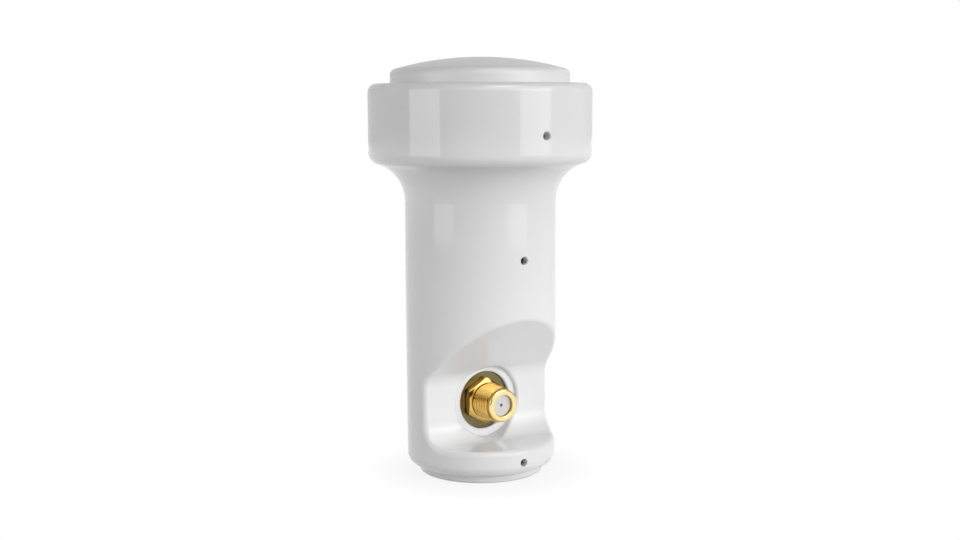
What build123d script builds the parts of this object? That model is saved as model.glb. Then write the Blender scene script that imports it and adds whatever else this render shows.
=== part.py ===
from build123d import *
import math
import os

# A universal satellite LNB: a moulded white housing with a round feed head, a 40 mm clamp neck and
# a scooped recess for its cable connector. Inside is a die-cast horn and waveguide with the circuit
# on its back. Millimetres, +Z up the feed axis, the connector facing -Y, and the origin in the
# middle of the end plug's flat base.

# Clearances
fit_gap = 0.1               # between pieces that fit in each other
play = 0.4                  # between the casting and the neck around it
tolerance = 0.01            # for finding an edge by its place

# Housing shell
body_radius = 20.0          # the neck that a dish arm's clamp holds
wall = 2.0
head_radius = 29.4
head_rim = 2.4              # wall of the head
head_top_z = 102.9
head_top_rounding = 2.2
head_low_rounding = 3.0
flare_foot_z = 72.5         # where the neck starts to widen
flare_radius = 10.0
seat_width = 4.5            # inner shoulder that the horn stands on
rim_rounding = 3.0          # lower rim of the housing
body_draft = 0.25           # degrees of moulding taper below the clamp's stretch
clamp_margin = 1.5          # plain neck starts this far above the recess

# Connector recess
recess_reach = 3.0          # the flat wall lies this far in front of the feed axis
recess_floor_z = 9.0
recess_top_z = 42.8         # crown of the arch on the front of the neck
recess_slope = 44.0         # degrees from level
recess_slope_rounding = 5.0
recess_floor_rounding = 6.0
recess_edge_rounding = 1.3
ring_radius = 9.6           # flat ring sunk into the wall around the connector
ring_depth = 1.1
ring_rounding = 1.0
hole_rounding = 0.5         # mouth of the connector's hole

# Drain holes on the side that faces the ground in use
drain_radius = 1.0
drain_rounding = 0.4
head_drain_z = 89.7
neck_drain_z = 58.0

# Feed cap
cap_radius = 23.55
cap_height = 6.9            # from the head's top to the crown of the dome
dome_rise = 3.4
cap_rounding = 1.8
cap_wall = 1.6
cap_flange = 2.0

# End plug
plug_radius = 16.5
plug_flange = 2.0
plug_rounding = 0.6
plug_spigot_radius = 14.4
plug_spigot_height = 3.5
plug_wall = 1.8

# Horn and waveguide casting
waveguide_radius = 8.75
casting_wall = 1.8
horn_mouth_radius = 12.5
horn_length = 18.0
choke_depth = 7.5
choke_rings = 2
choke_ring_wall = 1.0
seal_section = 1.8          # thickness of the cap's sealing ring
seal_land = 1.2             # metal on each side of the seal's groove
short_above_recess = 4.0    # closed end of the waveguide above the recess's crown

# Probes, counted up from the closed end of the waveguide
side_probe_height = 7.0
isolation_height = 12.0
back_probe_height = 17.5
probe_radius = 0.45
probe_reach = 4.5           # how far a probe stands into the waveguide
probe_bend = 1.2
side_probe_x = 7.5          # run of the bent probe along the waveguide's wall
bush_radius = 1.3
bush_cover = 1.0            # metal around a bush
isolation_radius = 0.75

# Circuit board and its cover
board_thickness = 0.6
board_above_probe = 8.0
board_edge = 0.4
cover_wall = 1.0
cover_side = 1.5            # its sloping sides, measured level
cover_flange = 1.2
lid_half_width = 5.5        # flat top of the cover
screw_margin = 2.2          # screw centre to the board's end
screw_radius = 0.95
screw_head_radius = 1.8
screw_head_height = 1.2
tuner_radius = 1.5
tuner_stand_out = 0.8
tuning_gap = 0.6            # between a tuner's tip and its resonator
tuner_slot = 0.5
pin_stub = 0.5              # soldered end above the board
low_puck_radius = 2.9       # resonator of the lower band's oscillator
high_puck_radius = 2.65
puck_height = 1.6
puck_below_short = 5.0      # lower band's puck below the waveguide's closed end
puck_pitch = 9.0
chip_height = 0.8
transistor_side = 1.8
mixer_side = 4.0
regulator_width = 6.4
regulator_length = 6.0
regulator_height = 1.5
absorber_thickness = 0.8
absorber_length = 14.0

# Cable connector, a 75 ohm F socket
connector_z = 18.8
thread_radius = 4.7625      # 3/8 inch
shank_radius = 4.5          # barrel where the nut, washer and casting hold it
connector_length = 9.8      # from the washer's face to the tip
tip_length = 1.0
tip_radius = 4.4
tip_rounding = 0.5
neck_groove_width = 0.35
neck_groove_radius = 4.25
socket_radius = 2.9
socket_recess = 1.1         # insulator below the tip
body_flange_radius = 6.2
body_flange_thickness = 1.8
nut_across_flats = 11.1
nut_thickness = 2.2
nut_chamfer = 0.5           # height of the bevel on its corners
nut_bevel = 0.85            # width of the bevel
washer_radius = 7.65
washer_thickness = 0.8
washer_recess = 1.0         # washer's face below the ring's face
contact_radius = 0.9
contact_pin_radius = 0.45
contact_mouth_radius = 0.45
contact_recess = 1.0
gasket_thickness = 1.3
boss_radius = 9.8           # casting behind the connector
nose_radius = 7.2           # part of it that carries the washer
boss_web = 3.6

# Sizes that follow from the ones above
neck_bore = body_radius - wall
head_bore = head_radius - head_rim
shell_foot_z = plug_flange
plate_top_z = shell_foot_z + wall
flare_center_r = body_radius + flare_radius
edge_center_r = head_radius - head_low_rounding
edge_rise = math.sqrt((flare_radius + head_low_rounding) ** 2 - (flare_center_r - edge_center_r) ** 2)
edge_center_z = flare_foot_z + edge_rise
flare_end_angle = math.degrees(math.atan2(edge_rise, flare_center_r - edge_center_r))
seat_z = edge_center_z - head_low_rounding + wall
seat_bore = head_bore - seat_width
lip_drain_z = (shell_foot_z + recess_floor_z) / 2
clamp_foot_z = recess_top_z + clamp_margin
foot_top_z = shell_foot_z + rim_rounding
foot_radius = body_radius - (clamp_foot_z - foot_top_z) * math.tan(math.radians(body_draft))

wall_face_y = -recess_reach
wall_back_y = wall_face_y + wall
ring_face_y = wall_face_y + ring_depth
washer_face_y = ring_face_y + washer_recess
washer_back_y = washer_face_y + washer_thickness
hole_radius = washer_radius + fit_gap
boss_face_y = wall_back_y + gasket_thickness
nut_face_y = washer_face_y - nut_thickness
tip_y = washer_face_y - connector_length
flange_face_y = washer_back_y + boss_web
flange_back_y = flange_face_y + body_flange_thickness
insulator_face_y = tip_y + socket_recess

flange_bottom_z = head_top_z - cap_flange
insert_radius = head_bore - fit_gap
choke_floor_z = flange_bottom_z - choke_depth
choke_plate_z = choke_floor_z - casting_wall
throat_z = flange_bottom_z - horn_length
tube_radius = waveguide_radius + casting_wall
seal_groove_width = seal_section + fit_gap
rim_width = seal_groove_width + 2 * seal_land
rim_bore = insert_radius - rim_width
seal_radius = insert_radius - rim_width / 2

deck_back_y = tube_radius
board_back_y = deck_back_y + board_thickness
inner_radius = neck_bore - play
short_z = recess_top_z + short_above_recess
side_probe_z = short_z + side_probe_height
isolation_z = short_z + isolation_height
back_probe_z = short_z + back_probe_height
side_bush_y = math.sqrt(waveguide_radius ** 2 - (side_probe_x - bush_radius) ** 2)
deck_bottom_z = connector_z - boss_radius
board_bottom_z = deck_bottom_z + board_edge
board_top_z = back_probe_z + board_above_probe
screw_rows = [board_bottom_z + screw_margin, board_top_z - screw_margin]
tub_bottom_z = board_bottom_z + 2 * screw_margin
tub_top_z = board_top_z - 2 * screw_margin
low_puck_z = short_z - puck_below_short
high_puck_z = low_puck_z - puck_pitch
pin_end_y = board_back_y + pin_stub


def half_width(y):
    """Half the width that the neck leaves at a depth y behind its axis."""
    return math.sqrt(inner_radius ** 2 - y ** 2)


lid_y = math.sqrt(inner_radius ** 2 - lid_half_width ** 2)
lid_inner_y = lid_y - cover_wall
lid_inner_half = lid_half_width - cover_side
board_half_width = half_width(board_back_y)
flange_top_y = board_back_y + cover_flange
screw_top_y = flange_top_y + screw_head_height
screw_x = half_width(screw_top_y) - screw_head_radius
tuner_tip_y = board_back_y + puck_height + tuning_gap
regulator_z = (connector_z + high_puck_z - high_puck_radius) / 2


def lid_room(height):
    """Half the width inside the lid at a height above the board."""
    base_half = board_half_width - cover_side
    share = height / (lid_inner_y - board_back_y)
    return base_half + (lid_inner_half - base_half) * share


mixer_x = mixer_side / 2 + play - lid_room(chip_height)


def rod_x(radius, x0, x1, y, z):
    return Pos((x0 + x1) / 2, y, z) * Rot(0, 90, 0) * Cylinder(radius, x1 - x0)


def rod_y(radius, y0, y1, x=0, z=0):
    return Pos(x, (y0 + y1) / 2, z) * Rot(90, 0, 0) * Cylinder(radius, y1 - y0)


def rod_z(radius, z0, z1):
    return Pos(0, 0, (z0 + z1) / 2) * Cylinder(radius, z1 - z0)


def tube_z(outer, inner, z0, z1):
    return rod_z(outer, z0, z1) - rod_z(inner, z0, z1)


def slab(x0, x1, y0, y1, z0, z1):
    return Pos((x0 + x1) / 2, (y0 + y1) / 2, (z0 + z1) / 2) * Box(x1 - x0, y1 - y0, z1 - z0)


def on_board(x, z, width, length, height):
    """A flat package soldered to the back of the board."""
    middle_y = board_back_y + height / 2
    return Pos(x, middle_y, z) * Box(width, height, length)


def turned(face):
    """A body of revolution about the feed axis from a half section in radius and height."""
    return revolve(Plane.XZ * face, Axis.Z)


def turned_y(face, z=0.0):
    """A body of revolution about a line along Y from a half section in radius and depth."""
    return Pos(0, 0, z) * revolve(face, Axis.Y)


def corner(face, x, y):
    """The corner of a flat face nearest to a point."""
    return face.vertices().sort_by_distance((x, y, 0))[0]


def recess_section(grow):
    """Side section of the scoop, grown into the housing by a wall."""
    slope = math.radians(recess_slope)
    wall_reach = recess_reach - grow
    floor_z = recess_floor_z - grow
    outer_reach = head_radius
    crown_z = recess_top_z + grow / math.cos(slope)
    wall_top_z = crown_z - (body_radius - wall_reach) * math.tan(slope)
    outer_top_z = crown_z + (outer_reach - body_radius) * math.tan(slope)
    line = FilletPolyline(
        (-outer_reach, outer_top_z),
        (-wall_reach, wall_top_z),
        (-wall_reach, floor_z),
        (-outer_reach, floor_z),
        radius=[recess_slope_rounding + grow, recess_floor_rounding + grow],
    )
    closing = Line((-outer_reach, floor_z), (-outer_reach, outer_top_z))
    return Plane.YZ * make_face((line + closing).edges())


def recess_body(grow):
    return extrude(recess_section(grow), amount=head_radius, both=True)


def drain_hole(radius, z):
    """A round hole with a softened mouth, drilled from the front at one height."""
    mouth = drain_radius + drain_rounding
    outside = radius + drain_rounding
    throat = radius - drain_rounding
    inside = radius - 2 * head_rim
    outline = Polyline((0, outside), (mouth, outside), (mouth, radius))
    outline += CenterArc((mouth, throat), drain_rounding, 90, 90)
    outline += Polyline((drain_radius, throat), (drain_radius, inside), (0, inside), (0, outside))
    face = make_face(outline.edges())
    return Pos(0, 0, z) * Rot(0, 0, 180) * revolve(face, Axis.Y)


def outer_form():
    """Head, flare, neck and lower rim as one turned form."""
    top_start_z = head_top_z - head_top_rounding
    foot_r = foot_radius - rim_rounding
    outline = Line((0, shell_foot_z), (foot_r, shell_foot_z))
    outline += CenterArc((foot_r, foot_top_z), rim_rounding, 270, 90)
    outline += Line((foot_radius, foot_top_z), (body_radius, clamp_foot_z))
    outline += Line((body_radius, clamp_foot_z), (body_radius, flare_foot_z))
    outline += CenterArc((flare_center_r, flare_foot_z), flare_radius, 180, -flare_end_angle)
    low_center = (edge_center_r, edge_center_z)
    outline += CenterArc(low_center, head_low_rounding, -flare_end_angle, flare_end_angle)
    outline += Line((head_radius, edge_center_z), (head_radius, top_start_z))
    outline += CenterArc((head_radius - head_top_rounding, top_start_z), head_top_rounding, 0, 90)
    outline += Line((head_radius - head_top_rounding, head_top_z), (0, head_top_z))
    outline += Line((0, head_top_z), (0, shell_foot_z))
    return turned(make_face(outline.edges()))


def housing_shell():
    body = outer_form() - recess_body(0)
    rim = []
    for edge in body.edges():
        middle = edge @ 0.5
        reach = math.hypot(middle.X, middle.Y)
        on_neck = foot_radius - tolerance < reach < body_radius + tolerance
        in_front = middle.Y < wall_face_y + tolerance
        if on_neck and in_front and recess_floor_z - tolerance < middle.Z < recess_top_z + tolerance:
            rim.append(edge)
    body = fillet(rim, recess_edge_rounding)

    # Flat ring sunk into the wall, with a softened rim
    body -= rod_y(ring_radius, -head_radius, ring_face_y, z=connector_z)
    ring_rim = []
    for edge in body.edges():
        middle = edge @ 0.5
        reach = math.hypot(middle.X, middle.Z - connector_z)
        if abs(reach - ring_radius) < tolerance and middle.Y < ring_face_y - tolerance:
            ring_rim.append(edge)
    body = fillet(ring_rim, ring_rounding)

    # Hollow inside, with the shoulder that carries the horn
    cavity = rod_z(neck_bore, plate_top_z, flare_foot_z)
    arc_radius = flare_radius + wall
    flare = Line((0, flare_foot_z), (flare_center_r - arc_radius, flare_foot_z))
    flare += CenterArc((flare_center_r, flare_foot_z), arc_radius, 180, -90)
    flare += Line((flare_center_r, flare_foot_z + arc_radius), (0, flare_foot_z + arc_radius))
    flare += Line((0, flare_foot_z + arc_radius), (0, flare_foot_z))
    cavity += turned(make_face(flare.edges())) & rod_z(seat_bore, flare_foot_z, seat_z)
    cavity += rod_z(seat_bore, seat_z - wall, seat_z)
    cavity += rod_z(head_bore, seat_z, head_top_z)
    cavity -= recess_body(wall)
    cavity -= rod_y(ring_radius + wall, -head_radius, wall_back_y, z=connector_z)
    body -= cavity
    body -= rod_z(plug_spigot_radius + fit_gap, shell_foot_z, plate_top_z)

    # Connector's hole with a softened mouth
    mouth = hole_radius + hole_rounding
    throat_y = ring_face_y + hole_rounding
    outline = Polyline((0, ring_face_y), (mouth, ring_face_y))
    outline += CenterArc((mouth, throat_y), hole_rounding, 180, 90)
    outline += Polyline((hole_radius, throat_y), (hole_radius, wall_back_y), (0, wall_back_y))
    outline += Line((0, wall_back_y), (0, ring_face_y))
    body -= turned_y(make_face(outline.edges()), connector_z)

    body -= drain_hole(head_radius, head_drain_z)
    body -= drain_hole(body_radius, neck_drain_z)
    body -= drain_hole(body_radius, lip_drain_z)
    return body


def feed_cap():
    """Domed lid with a flange that drops into the head's rim."""
    crown_z = head_top_z + cap_height
    dome_edge_z = crown_z - dome_rise
    dome_radius = (cap_radius ** 2 + dome_rise ** 2) / (2 * dome_rise)
    cap_bore = cap_radius - cap_wall
    inner_dome = dome_radius - cap_wall
    dome_center_z = crown_z - dome_radius
    dome_angle = math.degrees(math.asin(cap_radius / dome_radius))
    inner_angle = math.degrees(math.asin(cap_bore / inner_dome))
    inner_edge_z = dome_center_z + inner_dome * math.cos(math.radians(inner_angle))
    outline = CenterArc((0, dome_center_z), dome_radius, 90, -dome_angle)
    outline += Polyline(
        (cap_radius, dome_edge_z),
        (cap_radius, head_top_z),
        (insert_radius, head_top_z),
        (insert_radius, flange_bottom_z),
        (cap_bore, flange_bottom_z),
        (cap_bore, inner_edge_z),
    )
    outline += CenterArc((0, dome_center_z), inner_dome, 90 - inner_angle, inner_angle)
    outline += Line((0, crown_z - cap_wall), (0, crown_z))
    face = make_face(outline.edges())
    face = fillet(corner(face, cap_radius, dome_edge_z), cap_rounding)
    return turned(face)


def cap_seal():
    """Round sealing ring in the horn's rim, under the cap's flange."""
    section = Pos(seal_radius, flange_bottom_z - seal_groove_width / 2) * Circle(seal_section / 2)
    return turned(section)


def end_plug():
    """Disc that closes the lower end, with a hollow spigot."""
    disc = rod_z(plug_radius, 0, plug_flange)
    lower = disc.edges().filter_by(GeomType.CIRCLE).sort_by(Axis.Z)[0]
    disc = fillet(lower, plug_rounding)
    spigot_bore = plug_spigot_radius - plug_wall
    spigot_top_z = plug_flange + plug_spigot_height
    return disc + tube_z(plug_spigot_radius, spigot_bore, plug_flange, spigot_top_z)


def choke_wall_radii():
    """Inner radius of each choke ring, spread evenly between the horn and the rim."""
    horn_edge = horn_mouth_radius + casting_wall
    free = rim_bore - horn_edge - choke_rings * choke_ring_wall
    gap = free / (choke_rings + 1)
    return [horn_edge + gap + k * (gap + choke_ring_wall) for k in range(choke_rings)]


def feed_casting():
    """Corrugated horn, waveguide, circuit deck and connector boss in one casting."""
    mouth = horn_mouth_radius + casting_wall
    horn = make_face(
        Polyline(
            (0, throat_z),
            (tube_radius, throat_z),
            (mouth, flange_bottom_z),
            (0, flange_bottom_z),
            close=True,
        ).edges()
    )
    flare = make_face(
        Polyline(
            (0, throat_z),
            (waveguide_radius, throat_z),
            (horn_mouth_radius, flange_bottom_z),
            (0, flange_bottom_z),
            close=True,
        ).edges()
    )
    body = turned(horn)
    body += rod_z(insert_radius, choke_plate_z, choke_floor_z)
    body += tube_z(insert_radius, rim_bore, choke_plate_z, flange_bottom_z)
    body += tube_z(insert_radius, insert_radius - casting_wall, seat_z, choke_floor_z)
    for radius in choke_wall_radii():
        body += tube_z(radius + choke_ring_wall, radius, choke_plate_z, flange_bottom_z)
    body -= tube_z(
        seal_radius + seal_groove_width / 2,
        seal_radius - seal_groove_width / 2,
        flange_bottom_z - seal_groove_width,
        flange_bottom_z,
    )

    # Waveguide tube with its closed end, and the deck along its back
    body += rod_z(tube_radius, short_z - casting_wall, throat_z)
    deck_half = half_width(deck_back_y)
    body += slab(-deck_half, deck_half, waveguide_radius, deck_back_y, deck_bottom_z, choke_floor_z)

    # Boss for the bent probe, in the corner between the tube and the deck
    boss = bush_radius + bush_cover
    body += slab(0, side_probe_x + boss, 0, deck_back_y, side_probe_z - boss, side_probe_z + boss)

    # Connector boss with a nose that fills the housing's hole
    body += rod_y(boss_radius, boss_face_y, deck_back_y, z=connector_z)
    body += rod_y(nose_radius, washer_back_y, boss_face_y, z=connector_z)

    body -= turned(flare)
    body -= rod_z(waveguide_radius, short_z, throat_z)
    body -= rod_y(shank_radius + fit_gap, washer_back_y, flange_face_y, z=connector_z)
    body -= rod_y(body_flange_radius + fit_gap, flange_face_y, deck_back_y, z=connector_z)
    body -= rod_y(bush_radius, 0, deck_back_y, z=back_probe_z)
    body -= rod_y(bush_radius, 0, deck_back_y, x=side_probe_x, z=side_probe_z)
    body -= rod_x(isolation_radius + fit_gap, -tube_radius, tube_radius, 0, isolation_z)
    for x, z in screw_places():
        body -= rod_y(screw_radius, waveguide_radius, deck_back_y, x=x, z=z)
    return body


def screw_places():
    return [(side * screw_x, z) for z in screw_rows for side in (-1, 1)]


def circuit_board():
    body = slab(
        -board_half_width, board_half_width, deck_back_y, board_back_y, board_bottom_z, board_top_z
    )
    for x, z in screw_places():
        body -= rod_y(screw_radius + fit_gap, deck_back_y, board_back_y, x=x, z=z)
    for x, z in [(0, back_probe_z), (side_probe_x, side_probe_z)]:
        body -= rod_y(probe_radius + fit_gap, deck_back_y, board_back_y, x=x, z=z)
    body -= rod_y(contact_pin_radius + fit_gap, deck_back_y, board_back_y, z=connector_z)
    return body


def lid_section(base_half, top_half, top_y):
    """Cross section of the lid: a trapezium on the back of the board."""
    outline = Polyline(
        (-base_half, board_back_y),
        (base_half, board_back_y),
        (top_half, top_y),
        (-top_half, top_y),
        close=True,
    )
    return make_face(outline.edges())


def shield_cover():
    """Die-cast lid over the circuit, with a raised tub between two screwed flanges."""
    outer = lid_section(board_half_width, lid_half_width, lid_y)
    inner = lid_section(board_half_width - cover_side, lid_inner_half, lid_inner_y)
    whole = Pos(0, 0, board_bottom_z) * extrude(outer, board_top_z - board_bottom_z)
    body = whole & slab(-body_radius, body_radius, board_back_y, flange_top_y, board_bottom_z, board_top_z)
    body += Pos(0, 0, tub_bottom_z) * extrude(outer, tub_top_z - tub_bottom_z)
    cavity_length = tub_top_z - tub_bottom_z - 2 * cover_wall
    body -= Pos(0, 0, tub_bottom_z + cover_wall) * extrude(inner, cavity_length)
    for x, z in screw_places():
        body -= rod_y(screw_radius + fit_gap, board_back_y, flange_top_y, x=x, z=z)
    for z in (low_puck_z, high_puck_z):
        body -= rod_y(tuner_radius, lid_inner_y, lid_y, z=z)
    return body


def cover_screws():
    screws = []
    for x, z in screw_places():
        shank = rod_y(screw_radius, waveguide_radius, flange_top_y, x=x, z=z)
        head = rod_y(screw_head_radius, flange_top_y, screw_top_y, x=x, z=z)
        screws.append(shank + head)
    return Compound(children=screws)


def tuning_screws():
    top_y = lid_y + tuner_stand_out
    screws = []
    for z in (low_puck_z, high_puck_z):
        screw = rod_y(tuner_radius, tuner_tip_y, top_y, z=z)
        slot = slab(
            -tuner_radius, tuner_radius, top_y - tuner_slot, top_y, z - tuner_slot / 2, z + tuner_slot / 2
        )
        screws.append(screw - slot)
    return Compound(children=screws)


def puck(radius, z):
    """Ceramic resonator standing on the board."""
    return rod_y(radius, board_back_y, board_back_y + puck_height, z=z)


def back_probe():
    return rod_y(probe_radius, waveguide_radius - probe_reach, pin_end_y, z=back_probe_z)


def side_probe():
    """Pin that runs past the waveguide and bends into its side."""
    path = FilletPolyline(
        (side_probe_x, pin_end_y, side_probe_z),
        (side_probe_x, 0, side_probe_z),
        (waveguide_radius - probe_reach, 0, side_probe_z),
        radius=probe_bend,
    )
    return sweep(Plane(path @ 0, z_dir=path % 0) * Circle(probe_radius), path)


def bush(x, z, front_y):
    hole = rod_y(probe_radius + fit_gap / 2, front_y, deck_back_y, x=x, z=z)
    return rod_y(bush_radius, front_y, deck_back_y, x=x, z=z) - hole


def amplifier_transistors():
    step = 2 * transistor_side
    places = [
        (step, back_probe_z),
        (side_probe_x - step, side_probe_z),
        (0, side_probe_z - step / 2),
    ]
    packages = [on_board(x, z, transistor_side, transistor_side, chip_height) for x, z in places]
    return Compound(children=packages)


def voltage_regulator():
    return on_board(0, regulator_z, regulator_width, regulator_length, regulator_height)


def absorber_pad():
    """Lossy sheet glued under the lid, over the amplifier stages."""
    half = lid_inner_half - fit_gap
    top_z = tub_top_z - 2 * cover_wall
    return slab(-half, half, lid_inner_y - absorber_thickness, lid_inner_y, top_z - absorber_length, top_z)


def connector_body():
    """Turned barrel of the socket, with its clamped flange inside."""
    collar_end_y = tip_y + tip_length
    groove_end_y = collar_end_y + neck_groove_width
    body = rod_y(thread_radius, groove_end_y, nut_face_y, z=connector_z)
    body += rod_y(neck_groove_radius, collar_end_y, groove_end_y, z=connector_z)
    body += rod_y(shank_radius, nut_face_y, flange_face_y, z=connector_z)
    tip = rod_y(tip_radius, tip_y, collar_end_y, z=connector_z)
    tip_edge = tip.edges().filter_by(GeomType.CIRCLE).sort_by(Axis.Y)[0]
    body += fillet(tip_edge, tip_rounding)
    body += rod_y(body_flange_radius, flange_face_y, flange_back_y, z=connector_z)
    body -= rod_y(socket_radius, tip_y, flange_back_y, z=connector_z)
    return body


def connector_nut():
    """Thin hexagon nut, chamfered on both faces, with a corner up."""
    corner_radius = nut_across_flats / math.sqrt(3)
    flat_radius = corner_radius - nut_bevel
    hexagon = RegularPolygon(corner_radius, 6, rotation=90)
    prism = Pos(0, washer_face_y, connector_z) * Rot(90, 0, 0) * extrude(hexagon, nut_thickness)
    section = make_face(
        Polyline(
            (0, nut_face_y),
            (flat_radius, nut_face_y),
            (corner_radius, nut_face_y + nut_chamfer),
            (corner_radius, washer_face_y - nut_chamfer),
            (flat_radius, washer_face_y),
            (0, washer_face_y),
            close=True,
        ).edges()
    )
    prism &= turned_y(section, connector_z)
    return prism - rod_y(shank_radius + fit_gap / 2, nut_face_y, washer_face_y, z=connector_z)


def flat_ring(outer, inner, y0, y1):
    return rod_y(outer, y0, y1, z=connector_z) - rod_y(inner, y0, y1, z=connector_z)


def connector_insulator():
    outer = rod_y(socket_radius - fit_gap / 2, insulator_face_y, flange_back_y, z=connector_z)
    mouth = rod_y(contact_mouth_radius, insulator_face_y, insulator_face_y + contact_recess, z=connector_z)
    bore_r = contact_radius + fit_gap / 2
    bore = rod_y(bore_r, insulator_face_y + contact_recess, flange_back_y, z=connector_z)
    return outer - mouth - bore


def connector_contact():
    front_y = insulator_face_y + contact_recess
    sleeve = rod_y(contact_radius, front_y, flange_back_y, z=connector_z)
    pin = rod_y(contact_pin_radius, flange_back_y, pin_end_y, z=connector_z)
    return sleeve + pin


nodes = {
    "housing_shell": housing_shell(),
    "feed_cap": feed_cap(),
    "cap_seal": cap_seal(),
    "end_plug": end_plug(),
    "feed_casting": feed_casting(),
    "circuit_board": circuit_board(),
    "shield_cover": shield_cover(),
    "cover_screws": cover_screws(),
    "tuning_screws": tuning_screws(),
    "low_band_resonator": puck(low_puck_radius, low_puck_z),
    "high_band_resonator": puck(high_puck_radius, high_puck_z),
    "back_probe": back_probe(),
    "back_probe_bush": bush(0, back_probe_z, waveguide_radius),
    "side_probe": side_probe(),
    "side_probe_bush": bush(side_probe_x, side_probe_z, side_bush_y),
    "isolation_pin": rod_x(isolation_radius, -tube_radius, tube_radius, 0, isolation_z),
    "amplifier_transistors": amplifier_transistors(),
    "mixer_chip": on_board(mixer_x, high_puck_z, mixer_side, mixer_side, chip_height),
    "voltage_regulator": voltage_regulator(),
    "absorber_pad": absorber_pad(),
    "connector_body": connector_body(),
    "connector_nut": connector_nut(),
    "connector_washer": flat_ring(washer_radius, shank_radius + fit_gap, washer_face_y, washer_back_y),
    "connector_gasket": flat_ring(boss_radius, hole_radius, wall_back_y, boss_face_y),
    "connector_insulator": connector_insulator(),
    "connector_contact": connector_contact(),
}

os.makedirs("parts", exist_ok=True)
for name, shape in nodes.items():
    shape.label = name
    export_step(shape, f"parts/{name}.step")
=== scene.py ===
# %% [markdown]
# # A satellite LNB on a white table
# An LNB is the small receiver that sits in front of a satellite dish. This one is a white moulded housing
# with a domed cap on its head, a round neck that the dish's arm clamps, and a gold cable socket in a scoop
# near its foot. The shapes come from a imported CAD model, so most of this lesson is about finishes and light,
# and about the two small metal pieces that are worth modelling finely: the threaded barrel and its nut.

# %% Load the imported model
import math

import bmesh
import bpy
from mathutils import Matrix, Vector


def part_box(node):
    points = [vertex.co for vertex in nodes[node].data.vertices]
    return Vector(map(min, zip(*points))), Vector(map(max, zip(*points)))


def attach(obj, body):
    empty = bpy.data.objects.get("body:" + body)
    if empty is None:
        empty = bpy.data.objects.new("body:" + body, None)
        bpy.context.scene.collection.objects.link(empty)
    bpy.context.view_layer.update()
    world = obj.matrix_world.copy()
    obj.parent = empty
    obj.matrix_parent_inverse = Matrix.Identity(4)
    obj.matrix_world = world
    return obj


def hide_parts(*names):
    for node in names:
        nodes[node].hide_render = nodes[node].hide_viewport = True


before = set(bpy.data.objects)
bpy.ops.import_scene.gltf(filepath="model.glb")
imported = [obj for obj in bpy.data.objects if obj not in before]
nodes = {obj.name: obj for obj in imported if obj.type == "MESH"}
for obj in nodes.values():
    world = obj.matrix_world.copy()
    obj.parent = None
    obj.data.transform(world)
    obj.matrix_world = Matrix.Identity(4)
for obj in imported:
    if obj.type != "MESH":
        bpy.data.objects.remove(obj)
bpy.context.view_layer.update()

# %% [markdown]
# ## Camera
# The photograph was taken from a little above the middle of the head, looking 7 degrees down, with the
# socket turned 34 degrees to the right and the camera leaning a hair to one side. A camera could be aimed
# with a Track To constraint, but a photograph is matched more surely by writing down where the camera stood
# and how it was tilted.

# %% Camera
MM = 0.001
camera_turn = math.radians(-34)
camera_tilt = math.radians(7)
camera_lean = math.radians(0.2)
camera_distance = 352.4 * MM
camera_height = 97 * MM
looking_level = math.radians(90)  # a camera that isn't turned looks straight down

camera_data = bpy.data.cameras.new("camera")
camera_data.lens = 50
camera_data.sensor_width = 36
camera = bpy.data.objects.new("camera", camera_data)
camera.location = (
    camera_distance * math.sin(camera_turn),
    -camera_distance * math.cos(camera_turn),
    camera_height,
)
camera.rotation_euler = (looking_level - camera_tilt, camera_lean, camera_turn)
bpy.context.scene.collection.objects.link(camera)
bpy.context.scene.camera = camera
bpy.context.scene.view_settings.view_transform = "Standard"
print("camera at", [round(c, 4) for c in camera.location])

# %% [markdown]
# ## Colours and nodes
# Colours are easiest to pick as sRGB hex values, the way a paint program shows them, but a renderer adds up
# light in linear values, so one function turns the first into the second. A second small function adds one
# shader node with its settings; an input that is another node's output gets linked, any other value is set.

# %% Helpers for colours and nodes
def linear(hex_colour):
    """A linear RGBA colour from sRGB hex such as "E4E4E4"."""
    channels = []
    for start in (0, 2, 4):
        value = int(hex_colour[start:start + 2], 16) / 255
        channels.append(value / 12.92 if value <= 0.04045 else ((value + 0.055) / 1.055) ** 2.4)
    return (*channels, 1.0)


def add(tree, kind, inputs=None, **settings):
    """Adds one node to a tree, with its settings, its values and its links."""
    item = tree.nodes.new(kind)
    for name, value in settings.items():
        setattr(item, name, value)
    for key, value in (inputs or {}).items():
        if isinstance(value, bpy.types.NodeSocket):
            tree.links.new(value, item.inputs[key])
        else:
            item.inputs[key].default_value = value
    return item


print("middle grey 808080 is", round(linear("808080")[0], 3), "of white in linear light")

# %% [markdown]
# ## Materials on the CAD pieces
# A CAD piece keeps its shape and only gets a new finish. The finish could be built into the material that
# comes with the piece, but starting from an empty one leaves nothing unseen in it. One small function
# starts such a material, and another puts a finished one on pieces by their names.

# %% Start a material and put it on
def start_material(name):
    """A new material without nodes, and its node tree."""
    material = bpy.data.materials.new(name)
    material.use_nodes = True
    material.node_tree.nodes.clear()
    return material, material.node_tree


def dress(material, *names):
    """Puts one finish on CAD nodes."""
    for name in names:
        slots = nodes[name].data.materials
        slots.clear()
        slots.append(material)
    print(material.name, "on", ", ".join(names))


print("pieces to dress:", ", ".join(sorted(nodes)))

# %% [markdown]
# ## A surface from patterns
# Nothing on the real part is one flat colour: moulding, turning and plating each leave a faint unevenness.
# So every finish below has a pattern that moves its colour between two near tones, one that moves its gloss
# and one that gives it a shallow relief. Each material could be wired on its own, but the wiring is the same
# every time, so one function does it, and a finish brings only its patterns and values. Most of a noise
# pattern lies between 0.3 and 0.7, so the gloss is spread over that range.

# %% Surface from patterns
NOISE_LOW = 0.3
NOISE_HIGH = 0.7


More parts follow.
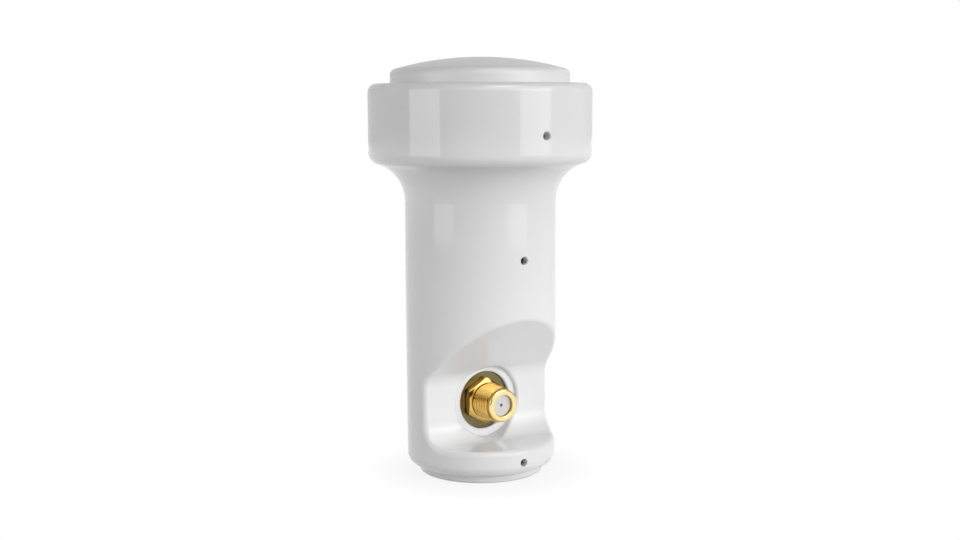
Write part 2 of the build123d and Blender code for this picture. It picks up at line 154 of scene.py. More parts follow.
def give_surface(tree, colour, gloss, relief, fixed):
    """Adds the shader of one finish to a material's tree.

    Colour is a pattern and the two tones that it moves between, gloss is a pattern and two roughnesses, and
    relief is a pattern with the strength and the depth of its bumps. Fixed values are the same all over.
    """
    colour_pattern, shade, bright = colour
    gloss_pattern, smooth, rough = gloss
    relief_pattern, strength, depth = relief
    tone = add(
        tree, "ShaderNodeMix",
        {"Factor": colour_pattern, "A": linear(shade), "B": linear(bright)},
        data_type="RGBA",
    )
    dullness = add(
        tree, "ShaderNodeMapRange",
        {
            "Value": gloss_pattern,
            "From Min": NOISE_LOW,
            "From Max": NOISE_HIGH,
            "To Min": smooth,
            "To Max": rough,
        },
    )
    bumps = add(
        tree, "ShaderNodeBump",
        {"Height": relief_pattern, "Strength": strength, "Distance": depth},
    )
    shader = add(
        tree, "ShaderNodeBsdfPrincipled",
        {
            "Base Color": tone.outputs["Result"],
            "Roughness": dullness.outputs[0],
            "Normal": bumps.outputs[0],
            **fixed,
        },
    )
    add(tree, "ShaderNodeOutputMaterial", {"Surface": shader.outputs[0]})


print("gloss follows a noise from", NOISE_LOW, "to", NOISE_HIGH)

# %% [markdown]
# ## White housing: gloss ABS
# The housing is ABS plastic, injection moulded against a polished steel mould. That gives the eye a clean
# neutral white with clear reflections of the studio lamps, and a very slight unevenness, because the
# plastic shrinks a little as it cools. The unevenness could be sculpted, but a few hundredths of a
# millimetre are far too shallow for that, so a wide noise of about 12 mm bends the reflections instead.
# The polished mould's own grain is near 0.05 mm, too fine to show here; it is drawn at 0.6 mm and only
# makes the gloss vary.

# %% Moulded gloss ABS
sink_strength = 0.12
sink_depth = 0.06 * MM


def moulded_plastic(name, bright, shade, ior, smooth, rough, sink_mm, grain_mm):
    """A moulded plastic: its skin sinks in slow waves, and the mould's grain makes its gloss vary."""
    material, tree = start_material(name)
    place = add(tree, "ShaderNodeTexCoord").outputs["Object"]
    sink = add(
        tree, "ShaderNodeTexNoise",
        {"Vector": place, "Scale": 1 / (sink_mm * MM), "Detail": 2.0, "Roughness": 0.4},
    ).outputs["Fac"]
    grain = add(
        tree, "ShaderNodeTexNoise",
        {"Vector": place, "Scale": 1 / (grain_mm * MM), "Detail": 3.0, "Roughness": 0.6},
    ).outputs["Fac"]
    give_surface(
        tree,
        colour=(sink, shade, bright),
        gloss=(grain, smooth, rough),
        relief=(sink, sink_strength, sink_depth),
        fixed={"IOR": ior},
    )
    return material


gloss_abs = moulded_plastic(
    "gloss_abs_moulded_polished",
    bright="F2F2F2", shade="F0F0F0", ior=1.53, smooth=0.035, rough=0.07, sink_mm=12, grain_mm=0.6,
)
dress(gloss_abs, "housing_shell")

# %% [markdown]
# ## Feed cap and end plug: polypropylene
# The cap has to let microwaves through, and polypropylene does that well. It is moulded like the housing,
# but it is a waxier plastic, which gives the eye broader and softer reflections on a white that is a touch
# greyer. It could share the housing's material; a material of its own keeps the seam between the two
# readable. The plug that closes the foot is the same plastic from a coarser mould, so it is duller still.

# %% Moulded polypropylene
cap_plastic = moulded_plastic(
    "polypropylene_cap_moulded",
    bright="EEEEEE", shade="ECECEC", ior=1.49, smooth=0.2, rough=0.26, sink_mm=9, grain_mm=0.6,
)
dress(cap_plastic, "feed_cap")
plug_plastic = moulded_plastic(
    "polypropylene_plug_moulded",
    bright="ECECEC", shade="E8E8E8", ior=1.49, smooth=0.28, rough=0.36, sink_mm=6, grain_mm=0.6,
)
dress(plug_plastic, "end_plug")

# %% [markdown]
# ## Barrel of the cable socket
# The gold barrel is turned from brass bar: a plain collar at its tip, a narrow groove, then the thread that
# the cable's nut screws on. The CAD barrel is smooth where the thread is. The thread could be a bump in the
# material, but then its outline would stay smooth too, so the barrel is modelled again with a real thread.
# The boxes of the CAD barrel and nut say where both lie, so nothing has to be fitted by eye.

# %% Where the socket lies
barrel_low, barrel_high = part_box("connector_body")
nut_low, nut_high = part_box("connector_nut")
axis_x = (barrel_low.x + barrel_high.x) / 2
axis_z = (barrel_low.z + barrel_high.z) / 2
tip_y = barrel_low.y
print("barrel:", round((barrel_high.y - tip_y) / MM, 2), "mm long,", round(axis_z / MM, 2), "mm up")

# %% [markdown]
# ## A small lathe
# The barrel and the nut's chamfers are both cut on a lathe, so one helper makes both pieces the way a lathe
# does: rings of points around the socket's axis, joined by faces into a closed skin. A Screw modifier could
# spin a profile, but a thread and a hexagon aren't the same all the way round. Here each piece brings a
# function that shifts every point of a ring as that piece needs.

# %% Lathe for barrel and nut
segments = 128
sharp_from = math.radians(38)


def lathe(name, rows, shape_at):
    """A piece turned around the socket's axis, from rows that hold a place along it and a radius.

    shape_at(y, radius, angle) gives each point its own radius and its own place along the axis.
    """
    mesh = bmesh.new()
    rings = []
    for y, radius in rows:
        ring = []
        for step in range(segments):
            angle = 2 * math.pi * step / segments
            reach, along = shape_at(y, radius, angle)
            x = axis_x + reach * math.cos(angle)
            z = axis_z + reach * math.sin(angle)
            ring.append(mesh.verts.new((x, along, z)))
        rings.append(ring)
    for one, two in zip(rings, rings[1:] + rings[:1]):
        for step in range(segments):
            after = (step + 1) % segments
            mesh.faces.new((one[step], one[after], two[after], two[step]))
    bmesh.ops.recalc_face_normals(mesh, faces=mesh.faces)
    data = bpy.data.meshes.new(name)
    mesh.to_mesh(data)
    mesh.free()
    data.shade_smooth()
    data.set_sharp_from_angle(angle=sharp_from)
    piece = bpy.data.objects.new(name, data)
    bpy.context.scene.collection.objects.link(piece)
    return piece


print("lathe:", segments, "points to a ring")

# %% [markdown]
# ## Tip of the barrel
# The collar at the tip has a well rounded outer edge, which helps a plug to find its way on, and a small
# rounding at the mouth of the bore. Behind it a narrow groove sets it off from the thread. The roundings
# could come from a Bevel modifier; a few rows along a quarter circle do the same on the lathe.

# %% Rows of the tip
bore_radius = 2.9 * MM
tip_radius = 4.4 * MM
tip_length = 1.0 * MM
tip_rounding = 0.5 * MM
rounding_steps = 6
groove_radius = 4.25 * MM
groove_width = 0.35 * MM
edge = 0.12 * MM
edge_middle = edge * 0.3
thread_start = tip_y + tip_length + groove_width

barrel_rows = [
    (barrel_high.y, bore_radius),
    (tip_y + edge, bore_radius),
    (tip_y + edge_middle, bore_radius + edge_middle),
    (tip_y, bore_radius + edge),
]
for step in range(rounding_steps + 1):
    turn = math.radians(90 * step / rounding_steps)
    along = tip_y + tip_rounding * (1 - math.cos(turn))
    barrel_rows.append((along, tip_radius - tip_rounding * (1 - math.sin(turn))))
barrel_rows += [
    (tip_y + tip_length - edge, tip_radius),
    (tip_y + tip_length, tip_radius - edge),
    (tip_y + tip_length, groove_radius),
    (thread_start, groove_radius),
]
print("tip:", len(barrel_rows), "rows up to the thread")

# %% [markdown]
# ## Thread of the barrel
# The socket has a 3/8 inch thread with 32 turns to the inch, so it advances 0.794 mm a turn. Its ridge has a
# narrow flat crest, two straight flanks and a wider flat root. A helix could be swept along a curve and cut
# with a Boolean, which is slow and fragile at this size. Here every point of the threaded rows is pulled
# in by where it lies on the spiral, and the ridge rises to its full height just behind the groove.

# %% Rows and shape of the thread
inch_mm = 25.4
turns_per_inch = 32
thread_pitch = inch_mm / turns_per_inch * MM
thread_radius = 4.7625 * MM
depth_share = 0.6134  # of the pitch, the usual depth of an inch thread on a bolt
thread_depth = depth_share * thread_pitch
crest_share = 1 / 8
root_share = 1 / 4
run_out = 0.35 * MM
rows_per_turn = 12
thread_end = nut_low.y + edge
turn_rows = int((thread_end - thread_start) / thread_pitch * rows_per_turn)
for row in range(1, turn_rows + 1):
    barrel_rows.append((thread_start + row * (thread_end - thread_start) / turn_rows, thread_radius))


def thread_shape(phase):
    """Height of the thread from its root, 0 to 1, at a share of one turn from a crest."""
    away = abs((phase + 0.5) % 1 - 0.5)
    flank = (1 - crest_share - root_share) / 2
    return min(1, max(0, 1 - (away - crest_share / 2) / flank))


def barrel_shape(y, radius, angle):
    """Cuts the thread into rows of the thread's own radius, and leaves the other rows round."""
    if radius != thread_radius:
        return radius, y
    shape = thread_shape((y - thread_start) / thread_pitch - angle / (2 * math.pi))
    fade = min(1, (y - thread_start) / run_out)
    root = thread_radius - thread_depth
    return root + thread_depth * shape * fade, y


print("thread:", turn_rows, "rows,", round((thread_end - thread_start) / thread_pitch, 2), "turns")

# %% [markdown]
# ## Shank, flange and the finished barrel
# Behind the thread a smooth shank passes through nut, washer and wall, and a flange inside the housing keeps
# the barrel from being pulled out. Both are plain turned steps, so they could stay in the CAD piece, but one
# closed skin from tip to flange has no seam under the nut. The new barrel takes the CAD barrel's place.

# %% Barrel
shank_radius = 4.5 * MM
flange_radius = (barrel_high.x - barrel_low.x) / 2
flange_thickness = 1.8 * MM
flange_face = barrel_high.y - flange_thickness
barrel_rows += [
    (thread_end, shank_radius),
    (flange_face, shank_radius),
    (flange_face, flange_radius),
    (barrel_high.y, flange_radius),
]

barrel = lathe("socket_barrel", barrel_rows, barrel_shape)
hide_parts("connector_body")
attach(barrel, "root")
print("barrel:", turn_rows, "thread rows,", len(barrel.data.polygons), "faces")

# %% [markdown]
# ## Outline of the nut
# The nut that holds the socket is milled from hexagon bar, and its corners are slightly rounded, as
# tumbling leaves them. A six-sided cylinder with a Bevel modifier could give that outline. The lathe needs
# to know how far the outline lies from the axis in each direction, so a small function works that out: a
# straight flat up to where the corner's circle touches it, then the circle.

# %% Hexagon with rounded corners
nut_flat = (nut_high.x - nut_low.x) / 2
corner_rounding = 0.9 * MM
half_side = math.radians(30)
whole_side = math.radians(60)


def hexagon_radius(angle):
    """Distance from the axis to a hexagon with rounded corners, one corner up."""
    off_flat = abs((angle + half_side) % whole_side - half_side)
    inner_flat = nut_flat - corner_rounding
    tangent = math.atan2(inner_flat * math.tan(half_side), nut_flat)
    if off_flat <= tangent:
        return nut_flat / math.cos(off_flat)
    off_corner = half_side - off_flat
    centre = inner_flat / math.cos(half_side)
    side = centre * math.sin(off_corner)
    return centre * math.cos(off_corner) + math.sqrt(corner_rounding ** 2 - side ** 2)


over_corners = 2 * hexagon_radius(half_side)
print("nut:", round(2 * nut_flat / MM, 2), "mm over flats,", round(over_corners / MM, 2), "over corners")

# %% [markdown]
# ## Chamfered nut
# The nut's two faces are chamfered on a lathe, so each flat ends in a curved bright edge where the chamfer's
# cone meets it. A hexagon with bevelled edges would miss that curve. Here each point of the outline is moved
# along the axis to where the cone passes through it, which gives the curve by itself.

# %% Hexagon nut
chamfer_inset = 0.4 * MM
chamfer_radius = nut_flat - chamfer_inset
chamfer_slope = 0.55
shank_play = 0.05 * MM
nut_bore = shank_radius + shank_play
thread_play = 0.03 * MM
mouth_radius = thread_radius + thread_play
mouth_depth = 0.2 * MM
OUTLINE = -1.0  # stands in a row in place of a radius, where the row follows the hexagon

nut_rows = [
    (nut_high.y, nut_bore),
    (nut_low.y + mouth_depth, nut_bore),
    (nut_low.y + mouth_depth, mouth_radius),
    (nut_low.y, mouth_radius),
    (nut_low.y, chamfer_radius),
    (nut_low.y, OUTLINE),
    (nut_high.y, OUTLINE),
    (nut_high.y, chamfer_radius),
]


def nut_shape(y, radius, angle):
    """Puts the outline's rows on the hexagon, where the chamfer's cone cuts it."""
    if radius != OUTLINE:
        return radius, y
    reach = hexagon_radius(angle)
    drop = (reach - chamfer_radius) * chamfer_slope
    along = y + drop if y == nut_low.y else y - drop
    return reach, along


nut = lathe("socket_nut", nut_rows, nut_shape)
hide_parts("connector_nut")
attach(nut, "root")
print("nut:", len(nut.data.polygons), "faces")

# %% [markdown]
# ## Gold-coloured plating on brass
# The barrel and nut carry a thin gold-coloured plating over machined brass. A turned surface keeps fine
# rings from the tool, so highlights spread a little along the barrel; the plating itself is bright and deep
# yellow, turning orange where it reflects itself. The rings could be a wave texture; here they are a noise
# stretched across the axis, because real tool marks are uneven. They are about 0.08 mm apart, too fine to
# show, and are drawn at 0.25 mm. In the photograph the white plastic beside the gold stays neutral, so the
# two gold pieces are kept out of the light that bounces between matt surfaces.

# %% Plated barrel and nut
stain_mm = 3.0
mark_depth = 0.02 * MM


def worked_metal(name, bright, deep, smooth, rough, mark_mm, stretch, bump):
    """A worked metal: slow stains tint it, and tool marks change its gloss and relief.

    A stretch above 1 draws the marks out into rings around the socket's axis.
    """
    material, tree = start_material(name)
    place = add(tree, "ShaderNodeTexCoord").outputs["Object"]
    across = add(
        tree, "ShaderNodeVectorMath", {0: place, 1: (1 / stretch, 1.0, 1 / stretch)}, operation="MULTIPLY"
    )
    marks = add(
        tree, "ShaderNodeTexNoise",
        {"Vector": across.outputs[0], "Scale": 1 / (mark_mm * MM), "Detail": 3.0, "Roughness": 0.55},
    ).outputs["Fac"]
    stains = add(
        tree, "ShaderNodeTexNoise",
        {"Vector": place, "Scale": 1 / (stain_mm * MM), "Detail": 3.0, "Roughness": 0.5},
    ).outputs["Fac"]
    give_surface(
        tree,
        colour=(stains, deep, bright),
        gloss=(marks, smooth, rough),
        relief=(marks, bump, mark_depth),
        fixed={"Metallic": 1.0},
    )
    return material


turned_gold = worked_metal(
    "gold_plated_brass_turned",
    bright="F3CF7C", deep="E6BC62", smooth=0.16, rough=0.26, mark_mm=0.25, stretch=12, bump=0.4,
)
milled_gold = worked_metal(
    "gold_plated_brass_milled",
    bright="EBC777", deep="DDB55C", smooth=0.08, rough=0.16, mark_mm=0.5, stretch=1, bump=0.3,
)
for piece, gold in ((barrel, turned_gold), (nut, milled_gold)):
    piece.data.materials.append(gold)
    piece.visible_diffuse = False
    print(gold.name, "on", piece.name)

# %% [markdown]
# ## Washer and contact
# The flat washer under the nut is stamped from sheet and tin plated, and air has browned it, which gives
# the eye a dull olive metal that mirrors only in a blur. The spring contact deep in the socket is formed
# from bronze strip, redder than brass and satin. Both could borrow the gold with another tint; the same
# function with marks that aren't stretched gives each its own finish.

# %% Stamped washer and formed contact
dull_washer = worked_metal(
    "tin_plated_washer_stamped",
    bright="857A58", deep="776B4C", smooth=0.26, rough=0.36, mark_mm=0.4, stretch=1, bump=0.3,
)
dress(dull_washer, "connector_washer")
bronze = worked_metal(
    "spring_bronze_formed",
    bright="C99A5B", deep="B5834A", smooth=0.25, rough=0.4, mark_mm=0.3, stretch=1, bump=0.4,
)
dress(bronze, "connector_contact")

# %% [markdown]
# ## Painted shade and highlight on the barrel
# The thread's roots are painted a deep brown gold, as painted shade where the thread's flanks shade each
# other, while the crests keep the plating's colour, and the tip's face is painted pale as a painted highlight.
# This could be painted as vertex colours; here the distance from the axis and the distance along it say how
# shaded or lit a spot is painted, because the thread's own shape then places the painted shade.

# %% Painted shade in the thread's roots
# The roots' deep brown gold is painted shade, where the thread's flanks shade each other.
root_shade_gold = "AE8438"
tree = turned_gold.node_tree
shader = tree.nodes["Principled BSDF"]
plating = shader.inputs["Base Color"].links[0].from_socket
place = add(tree, "ShaderNodeTexCoord").outputs["Object"]
from_axis = add(
    tree, "ShaderNodeVectorMath", {0: place, 1: (-axis_x, 0, -axis_z)}, operation="ADD"
).outputs[0]
sideways = add(tree, "ShaderNodeVectorMath", {0: from_axis, 1: (1, 0, 1)}, operation="MULTIPLY").outputs[0]
radius = add(tree, "ShaderNodeVectorMath", {0: sideways}, operation="LENGTH").outputs["Value"]
crest = add(
    tree, "ShaderNodeMapRange",
    {"Value": radius, "From Min": thread_radius - thread_depth, "From Max": thread_radius},
)
root_shaded = add(
    tree, "ShaderNodeMix",
    {"Factor": crest.outputs[0], "A": linear(root_shade_gold), "B": plating},
    data_type="RGBA",
)
# The root's darker colour is painted shade.
print("thread:", round(thread_depth / MM, 2), "mm from clean crest to dirty root")

# %% [markdown]
# ## Painted highlight on the tip
# The face of the tip is painted the palest gold, as a painted highlight. A second material could
# be set on its faces, but that would end in a hard line; a blend along the barrel fades over half the
# rounding.

# %% Painted highlight on the tip
# The tip's pale gold is a painted highlight.
tip_highlight_gold = "FDE8A8"
along = add(tree, "ShaderNodeSeparateXYZ", {"Vector": place}).outputs["Y"]
highlight_fade = add(
    tree, "ShaderNodeMapRange",
    {
        "Value": along,
        "From Min": tip_y + tip_rounding / 2,
        "From Max": tip_y + tip_rounding,
        "To Min": 1.0,
        "To Max": 0.0,
    },
)
# This mix carries both the painted shade in the roots and the painted highlight on the tip.
shade_and_highlight = add(
    tree, "ShaderNodeMix",
    {"Factor": highlight_fade.outputs[0], "A": root_shaded.outputs["Result"], "B": linear(tip_highlight_gold)},
    data_type="RGBA",
)
tree.links.new(shade_and_highlight.outputs["Result"], shader.inputs["Base Color"])
print("tip: pale for", round(tip_rounding / 2 / MM, 2), "mm, as the rest from", round(tip_rounding / MM, 2))

# %% [markdown]
# ## Insulator in the socket's mouth
# A pale polyethylene bush holds the centre contact. Polyethylene is slightly see-through, so light enters it
# and comes out again softened, which the eye reads as a milky edge. Subsurface scattering does exactly that;
# a plain white would look like paint. Faint clouds of about 1.2 mm stand for the uneven flow in its mould.

# %% Moulded polyethylene
cloud_mm = 1.2
milky, tree = start_material("polyethylene_moulded_milky")
place = add(tree, "ShaderNodeTexCoord").outputs["Object"]
cloud = add(
    tree, "ShaderNodeTexNoise",
    {"Vector": place, "Scale": 1 / (cloud_mm * MM), "Detail": 2.0},
).outputs["Fac"]
give_surface(
    tree,
    colour=(cloud, "D8D3D1", "E5E0DD"),
    gloss=(cloud, 0.36, 0.48),
    relief=(cloud, 0.3, 0.03 * MM),
    fixed={
        "IOR": 1.51,
        "Subsurface Weight": 0.35,
        "Subsurface Radius": (1.0, 0.9, 0.9),
        "Subsurface Scale": 0.8 * MM,
    },
)
dress(milky, "connector_insulator")

# %% [markdown]
# ## Metals that the housing hides
# Inside are a die-cast horn and waveguide, a circuit board under a cast lid, seals and small parts. The
# photograph shows none of them, but a model that someone opens up should still have honest finishes. They
# could all be one grey; here each gets a small material of its own, in which one grain moves the colour, the
# gloss and the relief. The grains of real metals and plastics are finer than these, which are drawn at a
# quarter of a millimetre and more so that they show.

# %% Cast aluminium, zinc plate and brass
grain_depth = 0.05 * MM


def inner_finish(name, bright, shade, metallic, smooth, rough, grain_mm, bump):
    """A finish from one grain, for the pieces inside."""
    material, tree = start_material(name)
    place = add(tree, "ShaderNodeTexCoord").outputs["Object"]
    grain = add(
        tree, "ShaderNodeTexNoise",
        {"Vector": place, "Scale": 1 / (grain_mm * MM), "Detail": 4.0, "Roughness": 0.6},
    ).outputs["Fac"]
    give_surface(
        tree,
        colour=(grain, shade, bright),
        gloss=(grain, smooth, rough),
        relief=(grain, bump, grain_depth),
        fixed={"Metallic": metallic},
    )
    return material


# Aluminium straight from the die is a matt grey with a coarse, cloudy skin.
cast_aluminium = inner_finish(
    "aluminium_die_cast",
    bright="A2A3A6", shade="8C8D90", metallic=1.0, smooth=0.44, rough=0.56, grain_mm=0.8, bump=0.5,
)
dress(cast_aluminium, "feed_casting", "shield_cover")
# Zinc plate on steel is a pale, slightly clouded metal with a satin shine.
zinc = inner_finish(
    "steel_zinc_plated",
    bright="CDCED0", shade="B9BABC", metallic=1.0, smooth=0.27, rough=0.37, grain_mm=0.4, bump=0.3,
)
dress(zinc, "cover_screws", "isolation_pin")
# Brass from the lathe is a clear yellow, a little shinier than the zinc.
brass = inner_finish(
    "brass_turned",
    bright="D8B766", shade="C8A352", metallic=1.0, smooth=0.23, rough=0.33, grain_mm=0.3, bump=0.3,
)
dress(brass, "tuning_screws", "back_probe", "side_probe")

# %% [markdown]
# ## Rubber and board inside
# The seals are black rubber, the pad under the lid is rubber filled with iron to swallow stray microwaves,
# and the board is a glass laminate. None of them is metal, so they could share one dull plastic; the same
# function with other tones, gloss and grain sizes tells them apart.

# %% Rubbers and laminate
# Moulded nitrile rubber is a soft black with hardly any shine.
black_rubber = inner_finish(
    "nitrile_rubber_moulded",
    bright="2E2E2E", shade="232323", metallic=0.0, smooth=0.54, rough=0.66, grain_mm=0.5, bump=0.4,
)
dress(black_rubber, "cap_seal", "connector_gasket")
# Iron-filled sheet is greyer and dusty, because the powder lies at its surface.
absorber = inner_finish(
    "iron_filled_rubber_sheet",
    bright="4A4A4C", shade="3A3A3C", metallic=0.0, smooth=0.68, rough=0.82, grain_mm=0.35, bump=0.6,
)
dress(absorber, "absorber_pad")
# Woven glass under resin is a pale olive sheet, mottled about as wide as its threads.
laminate = inner_finish(
    "glass_laminate_woven",
    bright="B0AA8C", shade="9C9678", metallic=0.0, smooth=0.44, rough=0.56, grain_mm=0.6, bump=0.5,
)
dress(laminate, "circuit_board")

# %% [markdown]
# ## Resonators, bushes and chips
# The last finishes inside are hard and matt: fired clay-coloured pills, white machined bushes around the
# probes, and black chip packages. An image could give a chip its printing; the part carries no words, so a
# plain grain is enough.

# %% Ceramic, fluoroplastic and resin
# Fired ceramic, ground to size, is a matt warm beige.
ceramic = inner_finish(
    "resonator_ceramic_ground",
    bright="C4B199", shade="B5A087", metallic=0.0, smooth=0.5, rough=0.6, grain_mm=0.3, bump=0.4,
)
dress(ceramic, "low_band_resonator", "high_band_resonator")
# Machined fluoroplastic is a waxy white with faint cutting marks.
fluoroplastic = inner_finish(
    "fluoroplastic_machined",
    bright="EDEDEA", shade="E2E2DE", metallic=0.0, smooth=0.44, rough=0.56, grain_mm=0.5, bump=0.3,
)
dress(fluoroplastic, "back_probe_bush", "side_probe_bush")
# Moulded epoxy resin is nearly black, with the fine spark-eroded grain of its mould.
chip_resin = inner_finish(
    "epoxy_resin_moulded",
    bright="38383A", shade="2C2C2E", metallic=0.0, smooth=0.44, rough=0.56, grain_mm=0.25, bump=0.4,
)
dress(chip_resin, "amplifier_transistors", "mixer_chip", "voltage_regulator")

# %% [markdown]
# ## Floor
# A product photograph on white has no visible table edge. The table could end in a curved sweep behind the
# part; a plane so wide that its edge is never in view needs fewer faces and works from every side.

# %% Floor
floor_half = 3.0
corner_signs = [(-1, -1), (1, -1), (1, 1), (-1, 1)]
floor_mesh = bpy.data.meshes.new("floor")
floor_mesh.from_pydata(
    [(x * floor_half, y * floor_half, 0) for x, y in corner_signs],
    [],
    [(0, 1, 2, 3)],
)
floor = bpy.data.objects.new("floor", floor_mesh)
bpy.context.scene.collection.objects.link(floor)
print("floor:", 2 * floor_half, "m wide")

# %% [markdown]
# ## Paint of the floor
# The table is painted a pale grey. Brighter lamps could wash it out to white, but they would wash out the
# part too. So what the camera, a reflection or a clear piece sees of the floor is plain white away from
# the part, while light that bounces off it still meets the grey paint. Close around the foot a little of
# the paint shows through, and with it the part's soft shadow.

# %% Pale floor paint
shadow_inner = 14 * MM
shadow_outer = 32 * MM
white_at_foot = 0.85
floor_paint, tree = start_material("floor_pale_paint")
path = add(tree, "ShaderNodeLightPath").outputs
looked_at = add(
    tree, "ShaderNodeMath", {0: path["Is Camera Ray"], 1: path["Is Glossy Ray"]}, operation="MAXIMUM"
).outputs[0]
seen = add(
    tree, "ShaderNodeMath", {0: looked_at, 1: path["Is Transmission Ray"]}, operation="MAXIMUM"
).outputs[0]
spot = add(tree, "ShaderNodeNewGeometry").outputs["Position"]
from_foot = add(tree, "ShaderNodeVectorMath", {0: spot}, operation="LENGTH").outputs["Value"]
away = add(
    tree, "ShaderNodeMapRange",
    {
        "Value": from_foot,
        "From Min": shadow_inner,
        "From Max": shadow_outer,
        "To Min": white_at_foot,
        "To Max": 1.0,
    },
)
whitened = add(tree, "ShaderNodeMath", {0: away.outputs[0], 1: seen}, operation="MULTIPLY")
paint = add(tree, "ShaderNodeBsdfDiffuse", {"Color": linear("CECECE")})
white = add(tree, "ShaderNodeEmission", {"Color": linear("FFFFFF"), "Strength": 1.0})
mixed = add(
    tree, "ShaderNodeMixShader", {0: whitened.outputs[0], 1: paint.outputs[0], 2: white.outputs[0]}
)
add(tree, "ShaderNodeOutputMaterial", {"Surface": mixed.outputs[0]})
floor_mesh.materials.append(floor_paint)
print("floor: plain white beyond", round(shadow_outer / MM), "mm from the part's axis")

# %% [markdown]
# ## Strip softboxes
# The two upright bright bands on the head are reflections of softboxes, one on each side of the camera.
# Their place on the round head says where they stood: about 56 degrees to each side, and so near that each
# looks 35 degrees wide. They could be glowing planes, but area lamps give cleaner light for the same time.
# One helper sets up every lamp of this studio. It stands a lamp at an angle from the camera's side and
# turns it to the part, and the camera doesn't see the lamp itself.

# %% Strip softboxes
def softbox(name, side, distance, height, size, strength, aim_height=0.06):
    """A rectangular lamp, turned to a height on the part's axis; a strength of 1 looks white.

    The side is in degrees to the right of the camera, distances, heights and the size are in metres.
    """
    width, tall = size
    data = bpy.data.lights.new(name, "AREA")
    data.shape = "RECTANGLE"
    data.size = width
    data.size_y = tall
    data.energy = strength * width * tall * math.pi
    lamp = bpy.data.objects.new(name, data)
    turn = camera_turn + math.radians(side)
    lamp.location = (distance * math.sin(turn), -distance * math.cos(turn), height)
    to_part = Vector((0, 0, aim_height)) - lamp.location
    lamp.rotation_euler = to_part.to_track_quat("-Z", "Y").to_euler()
    lamp.visible_camera = False
    bpy.context.scene.collection.objects.link(lamp)
    print(name, "at", [round(c, 3) for c in lamp.location], "watts", round(data.energy, 2))
    return lamp


strip_place = {"distance": 0.45, "height": 0.142, "size": (0.28, 0.26)}
strip_lamps = [
    softbox("softbox_right", side=56, strength=2.05, **strip_place),
    softbox("softbox_left", side=-56, strength=2.0, **strip_place),
]

# %% [markdown]
# ## Strips that fade at their foot
# In the photograph the bands show again at the top of the neck and fade out below, where the neck mirrors
# the lower edge of the softboxes, which is dimmer. A second, weaker lamp under each strip could do that. A
# lamp can have nodes like a material, so here the height on the lamp grades its own light: half at its
# lower edge, and full from a third of the way up.

# %% Fade of the strips
faded_share = 0.33
level_at_edge = 0.5
for lamp in strip_lamps:
    lamp.data.use_nodes = True
    tree = lamp.data.node_tree
    tree.nodes.clear()
    spot = add(tree, "ShaderNodeNewGeometry").outputs["Parametric"]
    upwards = add(tree, "ShaderNodeSeparateXYZ", {"Vector": spot}).outputs["Y"]
    fade = add(
        tree, "ShaderNodeMapRange",
        {"Value": upwards, "From Max": faded_share, "To Min": level_at_edge},
    )
    glow = add(tree, "ShaderNodeEmission", {"Strength": fade.outputs[0]})
    add(tree, "ShaderNodeOutputLight", {"Surface": glow.outputs[0]})
    print(lamp.name, "fades to", level_at_edge, "at its lower edge")

# %% [markdown]
# ## Table lamp and broad panels
# A lamp high in front on the right lights the table, the cap and every slope that looks up. The right side
# of the part is lighter than the left, away from the bands too, so a broad panel stands far out on the
# right, a weaker one on the left, and one behind for the back. The right strip could be made much brighter
# instead, but then its band would be too hard. The panels are left out of reflections, where lamps so wide
# would cover much of the head.

# %% Table lamp and panels
softbox("table_lamp", side=30, distance=0.35, height=0.6, size=(0.28, 0.2), strength=3.9)
panels = [
    softbox("panel_right", side=55, distance=1.6, height=0.46, size=(2.0, 0.9), strength=2.4),
    softbox("panel_left", side=-85, distance=0.6, height=0.27, size=(0.5, 0.5), strength=1.05),
    softbox("panel_back", side=170, distance=1.2, height=0.45, size=(1.6, 0.9), strength=1.8),
]
for lamp in panels:
    lamp.visible_glossy = False
print("panels that only light:", len(panels))

# %% [markdown]
# ## Lamp for the recess
# The scoop around the socket lies under its own sloping roof, yet it is bright in the photograph. All lamps
# could be made stronger for it, which would burn out the rest. A photographer puts a small lamp with a grid
# in front of such a hollow, low over the table. The spread of an area lamp is that grid: 16 degrees keep
# most of the light in the scoop.

# %% Recess lamp
recess_lamp = softbox(
    "recess_lamp", side=34, distance=0.26, height=0.02, size=(0.06, 0.04), strength=0.18, aim_height=0.026
)
recess_lamp.data.spread = math.radians(16)
recess_lamp.visible_glossy = False
print("recess lamp spreads over", round(math.degrees(recess_lamp.data.spread)), "degrees")

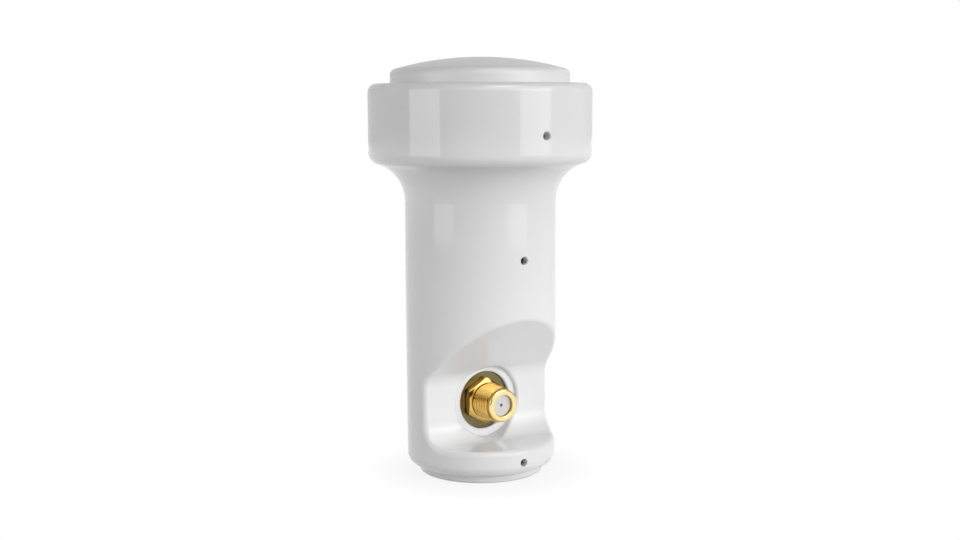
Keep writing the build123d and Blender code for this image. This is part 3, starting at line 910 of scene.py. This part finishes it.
# %% [markdown]
# ## White card for the gold
# Metal shows only what it mirrors, and the top of the barrel looks up past the camera into the dark of the
# room. Photographers hold a white card there. A glowing plane would do, but it would light the white plastic
# as well; a lamp that matt surfaces don't see is a card for reflections alone.

# %% White card
white_card = softbox(
    "white_card", side=38, distance=0.48, height=0.37, size=(0.95, 0.46), strength=1.4, aim_height=0.02
)
white_card.visible_diffuse = False
print("white card lights matt surfaces:", white_card.visible_diffuse)

# %% [markdown]
# ## Room
# What the camera sees of the room, straight or through something clear, is white. Reflections see it pale
# behind the part and dark around the camera, as a studio is, which gives the gold its contrast and keeps
# grey between the bands on the head. On matt surfaces it gives hardly any light of its own. A plain white
# world would be simpler, but it would light the part from all sides and leave no shape to read.

# %% Room
room_light = 0.03
dark_room = 0.03
pale_backdrop = 0.7
# Cosines of the angle from the camera's direction: -1 lies behind the camera, 1 behind the part.
dark_until = -0.3
pale_from = 0.9
ahead = (-math.sin(camera_turn), math.cos(camera_turn), 0)

room = bpy.data.worlds.new("white_room")
room.use_nodes = True
bpy.context.scene.world = room
tree = room.node_tree
tree.nodes.clear()
path = add(tree, "ShaderNodeLightPath").outputs
way = add(tree, "ShaderNodeTexCoord").outputs["Generated"]
forward = add(tree, "ShaderNodeVectorMath", {0: way, 1: ahead}, operation="DOT_PRODUCT").outputs["Value"]
mirrored = add(
    tree, "ShaderNodeMapRange",
    {
        "Value": forward,
        "From Min": dark_until,
        "From Max": pale_from,
        "To Min": dark_room,
        "To Max": pale_backdrop,
    },
)
indirect = add(
    tree, "ShaderNodeMapRange",
    {"Value": path["Is Glossy Ray"], "To Min": room_light, "To Max": mirrored.outputs[0]},
)
straight = add(
    tree, "ShaderNodeMath", {0: path["Is Camera Ray"], 1: path["Is Transmission Ray"]}, operation="MAXIMUM"
)
brightness = add(
    tree, "ShaderNodeMapRange",
    {"Value": straight.outputs[0], "To Min": indirect.outputs[0], "To Max": 1.0},
)
backdrop = add(
    tree, "ShaderNodeBackground", {"Color": linear("FFFFFF"), "Strength": brightness.outputs[0]}
)
add(tree, "ShaderNodeOutputWorld", {"Surface": backdrop.outputs[0]})
print("room mirrored from", dark_room, "around the camera to", pale_backdrop, "behind the part")
